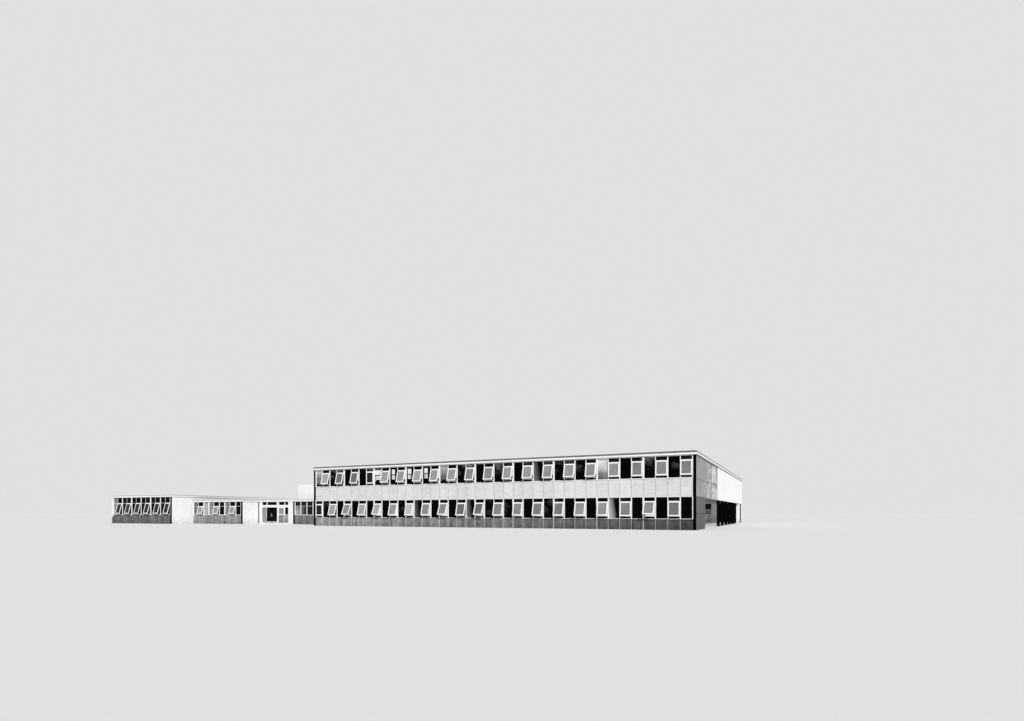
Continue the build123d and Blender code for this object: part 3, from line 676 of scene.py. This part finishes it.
# Meshes grow from blocks and prisms, and each becomes one named piece
class Stock:
    def __init__(self):
        self.points = []
        self.faces = []
        self.turn = Matrix.Identity(4)

    def prism(self, outline, axis, start, end):
        # A closed outline in the other two axes, run along one axis
        first = len(self.points)
        count = len(outline)
        for along in (start, end):
            for a, b in outline:
                spot = [a, b]
                spot.insert(axis, along)
                self.points.append(self.turn @ Vector(spot))
        for i in range(count):
            j = (i + 1) % count
            self.faces.append((first + i, first + j, first + count + j, first + count + i))
        self.faces.append(tuple(first + i for i in range(count)))
        self.faces.append(tuple(first + count + i for i in reversed(range(count))))

    def block(self, x0, x1, y0, y1, z0, z1):
        self.prism([(x0, y0), (x1, y0), (x1, y1), (x0, y1)], 2, z0, z1)

    def rod(self, start, end, radius, sides=8):
        # A round bar between two points
        start, end = Vector(start), Vector(end)
        spin = (end - start).to_track_quat("Z", "Y").to_matrix().to_4x4()
        before = self.turn
        self.turn = before @ Matrix.Translation(start) @ spin
        angles = [2 * math.pi * i / sides for i in range(sides)]
        outline = [(radius * math.cos(t), radius * math.sin(t)) for t in angles]
        self.prism(outline, 2, 0, (end - start).length)
        self.turn = before

    def ring(self, x0, x1, z0, z1, y0, y1, width):
        # Four mitred beads round an opening, square to the front
        outer = [(x0, z0), (x1, z0), (x1, z1), (x0, z1)]
        inward = [(1, 1), (-1, 1), (-1, -1), (1, -1)]
        inner = [(x + a * width, z + b * width) for (x, z), (a, b) in zip(outer, inward)]
        first = len(self.points)
        for y in (y0, y1):
            for x, z in outer + inner:
                self.points.append(self.turn @ Vector((x, y, z)))
        for i in range(4):
            j = (i + 1) % 4
            for a, b in ((0, 4), (12, 8), (4, 12), (8, 0)):
                self.faces.append((first + a + i, first + a + j, first + b + j, first + b + i))

    def make(self, name, slotName, body="building", bevel=0.0):
        mesh = bpy.data.meshes.new(name)
        mesh.from_pydata(self.points, [], self.faces)
        grown = bmesh.new()
        grown.from_mesh(mesh)
        bmesh.ops.recalc_face_normals(grown, faces=grown.faces)
        if bevel:
            bmesh.ops.bevel(grown, geom=grown.edges[:], offset=bevel, segments=1, affect="EDGES")
        grown.to_mesh(mesh)
        grown.free()
        mesh.materials.append(finishes[slotName])
        piece = bpy.data.objects.new(name, mesh)
        scene.collection.objects.link(piece)
        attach(piece, body)


# Ribbed sheets over the aprons. The aprons of the rear sides are as thick as the frames.
sheetLook = {"ribsEach": 4, "depth": 0.009, "flank": 0.012, "valley": 0.018, "edge": 0.004}
rearSlack = 0.004


def ribbedSheet(stock, low, high, face, outward, look):
    # One sheet with flat-topped ribs, seated on the apron's face
    ribs = max(1, round((high.x - low.x) / module * look["ribsEach"]))
    pitch = (high.x - low.x) / ribs
    top = face + outward * look["depth"]
    valley = face + outward * look["edge"] / 2
    outline = [(low.x, face)]
    for i in range(ribs):
        start = low.x + i * pitch + look["valley"] / 2
        stop = start + pitch - look["valley"]
        outline += [(start, valley), (start + look["flank"], top),
                    (stop - look["flank"], top), (stop, valley)]
    outline.append((high.x, face))
    stock.prism(outline, 2, low.z + look["edge"], high.z - look["edge"])


def isRear(low, high):
    return high.y - low.y > frameDepth - rearSlack


def makeAprons(look):
    stock = Stock()
    for node in ("front_aprons", "wing_aprons"):
        for low, high in boxesOf(node):
            face, outward = (high.y, 1) if isRear(low, high) else (low.y, -1)
            ribbedSheet(stock, low, high, face, outward, look)
    stock.make("apron_sheeting", "grey_aprons")


# Cover strips on the joints of the aprons, gaskets in those of the spandrels, caps on the posts
stripLook = {"width": 0.016, "postWidth": 0.034, "edge": 0.003, "proud": 0.004, "recess": 0.014}
gasketLook = {"width": 0.014, "front": 0.016, "back": 0.030}
capLook = {"width": 0.042, "edge": 0.004, "proud": 0.006, "cornerGap": 0.004}


def capOutline(x, width, y, proud, edge):
    # A shallow cap with bevelled edges, seen from above
    return [(x - width / 2, y), (x - width / 2 + edge, y - proud), (x + width / 2 - edge, y - proud),
            (x + width / 2, y)]


def makeStrips(look, modules):
    stock = Stock()
    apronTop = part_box("front_aprons")[1].z
    for i in range(1, modules):
        width = look["width"] if i % gridFacts["postEvery"] else look["postWidth"]
        outline = capOutline(gridStart + i * module, width, frontPlane + look["recess"],
                             look["recess"] + look["proud"], look["edge"])
        stock.prism(outline, 2, 0, apronTop)
    stock.make("joint_cover_strips", "steel_posts")


def makeCaps(look, modules):
    # The caps at the two ends are narrower, to stay clear of the corner strips
    stock = Stock()
    for i in range(0, modules + 1, gridFacts["postEvery"]):
        inward = {0: 1, modules: -1}.get(i, 0) * (look["width"] / 2 + look["cornerGap"])
        x = gridStart + i * module + inward / 2
        outline = capOutline(x, look["width"] - abs(inward), frontPlane, look["proud"], look["edge"])
        for low, high in ((windowLow, windowHigh), (upperLow, upperHigh)):
            stock.prism(outline, 2, low.z, high.z)
    stock.make("post_caps", "white_frames")


def makeGaskets(look, modules):
    stock = Stock()
    low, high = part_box("front_spandrels")
    for i in range(1, modules):
        x = gridStart + i * module
        stock.block(x - look["width"] / 2, x + look["width"] / 2, frontPlane + look["front"],
                    frontPlane + look["back"], low.z, high.z)
    stock.make("spandrel_gaskets", "dark_paint")


# Sills and drips that run along each storey in bays
sillLook = {"proud": 0.012, "height": 0.010, "slope": 0.006, "joint": 0.003, "back": 0.012}


def makeSills(look):
    white = Stock()
    dark = Stock()
    bay = module * gridFacts["postEvery"]
    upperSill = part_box("front_spandrels")[1].z
    back, nose = frontPlane + look["back"], frontPlane - look["proud"]
    for stock, level, way in ((white, upperSill, 1), (white, windowHigh.z, -1), (dark, windowLow.z, 1)):
        under, slope = level - way * look["height"], level - way * look["slope"]
        outline = [(back, under), (back, level), (frontPlane, level), (nose, slope), (nose, under)]
        for i in range(gridFacts["modules"] // gridFacts["postEvery"]):
            start = gridStart + i * bay + look["joint"] / 2
            stock.prism(outline, 0, start, start + bay - look["joint"])
    white.make("spandrel_drips", "white_frames")
    dark.make("ground_storey_sill", "dark_paint")


# Nosings on top of the aprons and panels of the other sides
nosingLook = {"proud": 0.016, "height": 0.010, "slope": 0.006, "back": 0.002}


def nosing(stock, low, high, axis, outward, look):
    # A sloped board along the top edge, which stands proud of the face that looks outward
    across = 1 - axis
    face = high[across] if outward > 0 else low[across]
    out = face + outward * look["proud"]
    back = face - outward * look["back"]
    under = high.z - look["height"]
    outline = [(back, under), (back, high.z), (face, high.z), (out, high.z - look["slope"]), (out, under)]
    stock.prism(outline, axis, low[axis], high[axis])


def makeNosings(look):
    stock = Stock()
    for low, high in boxesOf("wing_aprons"):
        nosing(stock, low, high, 0, 1 if isRear(low, high) else -1, look)
    for low, high in boxesOf("rear_panels"):
        nosing(stock, low, high, 0, 1, look)
    for low, high in boxesOf("court_panels"):
        nosing(stock, low, high, 1, -1, look)
    stock.make("panel_nosings", "white_frames")


makeAprons(sheetLook)
makeStrips(stripLook, gridFacts["modules"])
makeCaps(capLook, gridFacts["modules"])
makeGaskets(gasketLook, gridFacts["modules"])
makeSills(sillLook)
makeNosings(nosingLook)
print("apron sheeting, strips and sills are made")


# Glazing beads round every fixed pane
beadLook = {"width": 0.009, "depth": 0.010}


def makeBeads(look):
    stock = Stock()
    for node in ("front_glass", "wing_glass"):
        for low, high in boxesOf(node):
            stock.ring(low.x, high.x, low.z, high.z, low.y - look["depth"], low.y, look["width"])
    stock.make("glazing_beads", "white_frames")


def transomLevel(low, high, look):
    if high.x - low.x > module:
        return high.z - (high.z - low.z) * look["rearShare"]
    if low.y > lobbyFront:
        return look["lobbyTransom"]
    return look["tallTransom"] if high.x < tallRight else look["lowTransom"]


def paneBars(stock, low, high, look):
    # A transom on both faces of a pane, and upright bars where the pane is several bays wide
    level = transomLevel(low, high, look)
    half = look["lobbyThick" if low.y > lobbyFront else "thick"] / 2
    behind = look["depth"] * (1 if high.x - low.x > module else look["behind"])
    bays = round((high.x - low.x) / module)
    for y0, y1 in ((low.y - look["depth"], low.y), (high.y, high.y + behind)):
        stock.block(low.x, high.x, y0, y1, level - half, level + half)
        for i in range(1, bays):
            x = low.x + i * (high.x - low.x) / bays
            for z0, z1 in ((low.z, level - half), (level + half, high.z)):
                stock.block(x - half, x + half, y0, y1, z0, z1)


def makeBars(look):
    stock = Stock()
    for node in ("wing_glass", "rear_glass"):
        for low, high in boxesOf(node):
            if high.z - low.z > module:
                paneBars(stock, low, high, look)
    stock.make("window_transoms", "white_frames", bevel=look["bevel"])


# Dark boards behind the foot of the rear upper windows: painted shade, standing in for the dark inside of
# the rooms
shadeBoardLook = {"top": 2.62, "thick": 0.008, "gap": 0.004}


def makeShadeBoards(look):
    stock = Stock()
    for low, high in boxesOf("rear_glass"):
        if low.z > windowHigh.z:
            face = low.y - look["gap"]
            stock.block(low.x, high.x, face - look["thick"], face, low.z, look["top"])
    stock.make("rear_shade_boards", "dark_paint")


# Joint lines on the right end wall: three levels, and one upright between each two
endJointLook = {"width": 0.010, "proud": 0.0015, "inset": 0.001, "lowest": 0.25, "underUpper": 0.048}


def makeEndJoints(look):
    low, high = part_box("right_end_wall")
    stock = Stock()
    face = (high.x - look["inset"], high.x + look["proud"])
    half = look["width"] / 2
    lowest = windowLow.z + (windowHigh.z - windowLow.z) * look["lowest"]
    levels = (lowest, windowHigh.z, upperLow.z - look["underUpper"])
    for z in levels:
        stock.block(*face, low.y, high.y, z - half, z + half)
    middle = (low.y + high.y) / 2
    for start, end in zip((0, *levels), (*levels, high.z)):
        stock.block(*face, middle - half, middle + half, start + half, end - half)
    stock.make("end_wall_joints", "dark_paint")


# Left corner of the tall pavilion: a pale board over a piece of ribbed sheet
cornerProud = 0.004


def makePavilionCorner():
    low, high = min(boxesOf("end_strips"), key=lambda box: box[0].x)
    board = Stock()
    board.block(low.x, high.x, low.y - cornerProud, low.y, windowLow.z, high.z)
    board.make("pavilion_corner_board", "white_boarding")
    sheet = Stock()
    ribbedSheet(sheet, low, Vector((high.x, high.y, windowLow.z)), low.y, -1, sheetLook)
    sheet.make("pavilion_corner_sheet", "grey_aprons")


# Rainwater pipe beside the entrance, with three collars and their brackets
pipeLook = {"radius": 0.020, "off": 0.028, "foot": 0.04, "sides": 12, "collar": 0.027, "collarHigh": 0.02,
            "collarIn": (0.05, 0.06), "bracket": 0.012, "bracketLow": 0.004}


def makeDownpipe(look):
    low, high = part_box("entrance_screen")
    stock = Stock()
    x, y = low.x + look["off"], low.y - look["off"]
    half = look["bracket"] / 2
    stock.rod((x, y, look["foot"]), (x, y, high.z), look["radius"], look["sides"])
    below, above = look["collarIn"]
    for z in (look["foot"] + below, high.z / 2, high.z - above):
        stock.rod((x, y, z), (x, y, z + look["collarHigh"]), look["collar"], look["sides"])
        bracket = z + look["bracketLow"]
        stock.block(x - half, x + half, y + look["radius"] / 2, low.y, bracket, bracket + look["bracket"])
    stock.make("entrance_downpipe", "dark_paint")


makeBeads(beadLook)
makeBars(barLook)
makeShadeBoards(shadeBoardLook)
makeEndJoints(endJointLook)
makePavilionCorner()
makeDownpipe(pipeLook)
print("glazing beads, transoms and trims are made")


# Hardware on the casements: weather bar and beads on the leaf, hinges and stays on the frame
sashLook = {"border": 0.042, "depth": 0.020, "bead": 0.008, "beadBack": 0.013,
            # Outward and upward from the foot of the leaf
            "weatherBar": [(0.0, 0.004), (0.010, 0.002), (0.010, 0.006), (0.0, 0.018)], "barIn": 0.01,
            "hingeIn": 0.09, "hingeLong": 0.045, "hingeRadius": 0.005, "hingeOut": 0.004, "hingeUp": 0.005,
            "stayIn": 0.012, "stayDown": 0.30, "stayReach": 0.12, "stayBack": 0.004, "stayRadius": 0.003}


def sashFacts(points):
    # Left and right, the hinge line, the angle that the leaf stands open and its height
    top = max(points, key=lambda p: (round(p.y, 3), p.z))
    foot = min(points, key=lambda p: (round(p.z, 3), -p.y))
    low, high = boxOf(points)
    angle = math.atan2(top.y - foot.y, top.z - foot.z)
    height = math.hypot(top.y - foot.y, top.z - foot.z)
    return low.x, high.x, top.y, top.z, angle, height


def dressSash(white, steel, points, look):
    x0, x1, y, z, angle, height = sashFacts(points)
    swung = Matrix.Translation((0, y, z)) @ Matrix.Rotation(-angle, 4, "X")
    border = look["border"]
    white.turn = swung
    white.ring(x0 + border, x1 - border, border - height, -border, -look["depth"], -look["beadBack"],
               look["bead"])
    bar = [(-look["depth"] - out, up - height) for out, up in look["weatherBar"]]
    white.prism(bar, 0, x0 + look["barIn"], x1 - look["barIn"])
    hinge = (y - look["hingeOut"], z + look["hingeUp"])
    for x in (x0 + look["hingeIn"], x1 - look["hingeIn"] - look["hingeLong"]):
        steel.rod((x, *hinge), (x + look["hingeLong"], *hinge), look["hingeRadius"])
    for x in (x0 + look["stayIn"], x1 - look["stayIn"]):
        end = swung @ Vector((x, 0, -look["stayDown"] - look["stayReach"]))
        steel.rod((x, y + look["stayBack"], z - look["stayDown"]), end, look["stayRadius"], 6)


def makeSashHardware(look):
    white = Stock()
    steel = Stock()
    for node in ("front_lower_casements", "front_upper_casements", "pavilion_casements"):
        for points in solidsOf(node):
            dressSash(white, steel, points, look)
    white.make("casement_weather_bars", "white_frames")
    steel.make("casement_stays", "steel_posts")


makeSashHardware(sashLook)
print("casement hardware is made")


# Laps in the roof felt, across the length of each roof
lapLook = {"every": 0.5, "wide": 0.03, "low": 0.001, "high": 0.003, "edgeIn": 0.05}


def layLaps(stock, low, high, level, axis, look):
    ends = [(low.x, high.x), (low.y, high.y)]
    start, stop = ends[axis]
    across = [ends[1 - axis][0] + look["edgeIn"], ends[1 - axis][1] - look["edgeIn"]]
    length = stop - start - 2 * look["edgeIn"]
    count = int(length / look["every"])
    pitch = length / count
    for i in range(1, count):
        at = start + look["edgeIn"] + i * pitch
        lap = [(at, level), (at + look["wide"], level), (at + look["wide"], level + look["low"]),
               (at, level + look["high"])]
        stock.prism(lap, 1 - axis, *across)


def makeLaps(look):
    stock = Stock()
    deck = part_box("roof_fascia")[1].z
    layLaps(stock, *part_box("front_roof"), deck, 0, look)
    layLaps(stock, *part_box("leg_roof"), deck, 1, look)
    for node in ("tall_pavilion_roof", "hall_roof", "wing_roofs"):
        for low, high in boxesOf(node):
            layLaps(stock, low, high, high.z, 0, look)
    stock.make("felt_laps", "roof_felt")


# Metal trims along the top of each fascia, and straps over its joints
edgeLook = {"trimHigh": 0.020, "trimProud": 0.004, "trimOver": 0.002, "strapWide": 0.02,
            "strapProud": 0.003, "strapEvery": 2.032}


def limits(axis, length, across):
    # The x and y limits of a block whose length runs along one axis
    return (*across, *length) if axis else (*length, *across)


def makeFasciaEdges(look):
    trim = Stock()
    strap = Stock()
    for low, high in boxesOf("roof_fascia") + boxesOf("wing_fascia"):
        axis = 0 if high.x - low.x > high.y - low.y else 1
        start, stop = low[axis], high[axis]
        front, back = low[1 - axis], high[1 - axis]
        under = high.z - look["trimHigh"]
        across = (front - look["trimProud"], back + look["trimProud"])
        trim.block(*limits(axis, (start, stop), across), under, high.z + look["trimOver"])
        count = max(1, round((stop - start) / look["strapEvery"]))
        for face in ((front - look["strapProud"], front), (back, back + look["strapProud"])):
            for i in range(1, count):
                at = start + i * (stop - start) / count - look["strapWide"] / 2
                strap.block(*limits(axis, (at, at + look["strapWide"]), face), low.z, under)
    trim.make("fascia_edge_trims", "roof_felt")
    strap.make("fascia_joint_straps", "white_boarding")


makeLaps(lapLook)
makeFasciaEdges(edgeLook)
print("roof details are made")


# Steel plates and bolts at the feet of the columns
plateLook = {"over": 0.035, "thick": 0.008, "boltIn": 0.016, "boltRadius": 0.007, "boltHigh": 0.008,
             "bevel": 0.001}


def makeColumnPlates(look):
    stock = Stock()
    over, inset = look["over"], look["boltIn"]
    for low, high in boxesOf("leg_columns"):
        x0, x1 = low.x - over, high.x + over
        y0, y1 = low.y - over, high.y + over
        top = low.z + look["thick"]
        stock.block(x0, x1, y0, y1, low.z, top)
        for x in (x0 + inset, x1 - inset):
            for y in (y0 + inset, y1 - inset):
                stock.rod((x, y, top), (x, y, top + look["boltHigh"]), look["boltRadius"], 6)
    stock.make("column_base_plates", "dark_paint", bevel=look["bevel"])


# Cover strips under the soffit of the leg, every two bays
soffitLook = {"wide": 0.018, "thick": 0.004, "in": 0.06, "every": 2}


def makeSoffitStrips(look):
    low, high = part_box("leg_floor")
    stock = Stock()
    pitch = module * look["every"]
    for i in range(1, int((lobbyFront - low.y) / pitch) + 1):
        y = low.y + i * pitch
        stock.block(low.x + look["in"], high.x - look["in"], y - look["wide"] / 2, y + look["wide"] / 2,
                    low.z - look["thick"], low.z)
    stock.make("soffit_cover_strips", "concrete")


# Fixing screws on the end walls, in four upright rows
screwLook = {"radius": 0.004, "proud": 0.002, "in": 0.03, "every": 0.22}


def makeEndScrews(look):
    stock = Stock()
    inset = look["in"]
    for node, side in (("left_end_wall", -1), ("right_end_wall", 1)):
        low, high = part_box(node)
        face = low.x if side < 0 else high.x
        middle = (low.y + high.y) / 2
        for k in range(int((high.z - low.z - 2 * inset) / look["every"]) + 1):
            z = low.z + inset + k * look["every"]
            for y in (low.y + inset, middle - inset, middle + inset, high.y - inset):
                stock.rod((face, y, z), (face + side * look["proud"], y, z), look["radius"], 6)
    stock.make("end_wall_screws", "steel_posts")


makeColumnPlates(plateLook)
makeSoffitStrips(soffitLook)
makeEndScrews(screwLook)
print("plates, soffit strips and screws are made")


# Doors: pull handles, kick plates and beads, which ride on their leaves
doorLook = {"stile": 0.045, "face": 0.008, "handleLow": 0.45, "handleHigh": 0.68, "handleOut": 0.03,
            "handleRadius": 0.006, "armIn": 0.03, "armShare": 0.8, "plate": 0.002, "plateIn": 0.012,
            "kickHigh": 0.085, "bead": 0.007, "beadBack": 0.002}


def makeDoor(side, look):
    door = "door_" + side
    low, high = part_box(door)
    glassLow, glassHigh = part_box(door + "_glass")
    front = glassLow.y - look["face"]
    out = front - look["handleOut"]
    x = high.x - look["stile"] / 2 if side == "left" else low.x + look["stile"] / 2
    foot, head = look["handleLow"], look["handleHigh"]
    steel = Stock()
    steel.rod((x, out, foot), (x, out, head), look["handleRadius"])
    for z in (foot + look["armIn"], head - look["armIn"]):
        steel.rod((x, front, z), (x, out, z), look["handleRadius"] * look["armShare"])
    steel.block(glassLow.x - look["plateIn"], glassHigh.x + look["plateIn"], front - look["plate"], front,
                low.z + look["plateIn"], low.z + look["kickHigh"])
    steel.make(door + "_handle", "steel_posts", door + "_leaf")
    bead = Stock()
    bead.ring(glassLow.x, glassHigh.x, glassLow.z, glassHigh.z, front + look["beadBack"], glassLow.y,
              look["bead"])
    bead.make(door + "_beads", "dark_paint", door + "_leaf")


for side in ("left", "right"):
    makeDoor(side, doorLook)
print("door hardware is made")
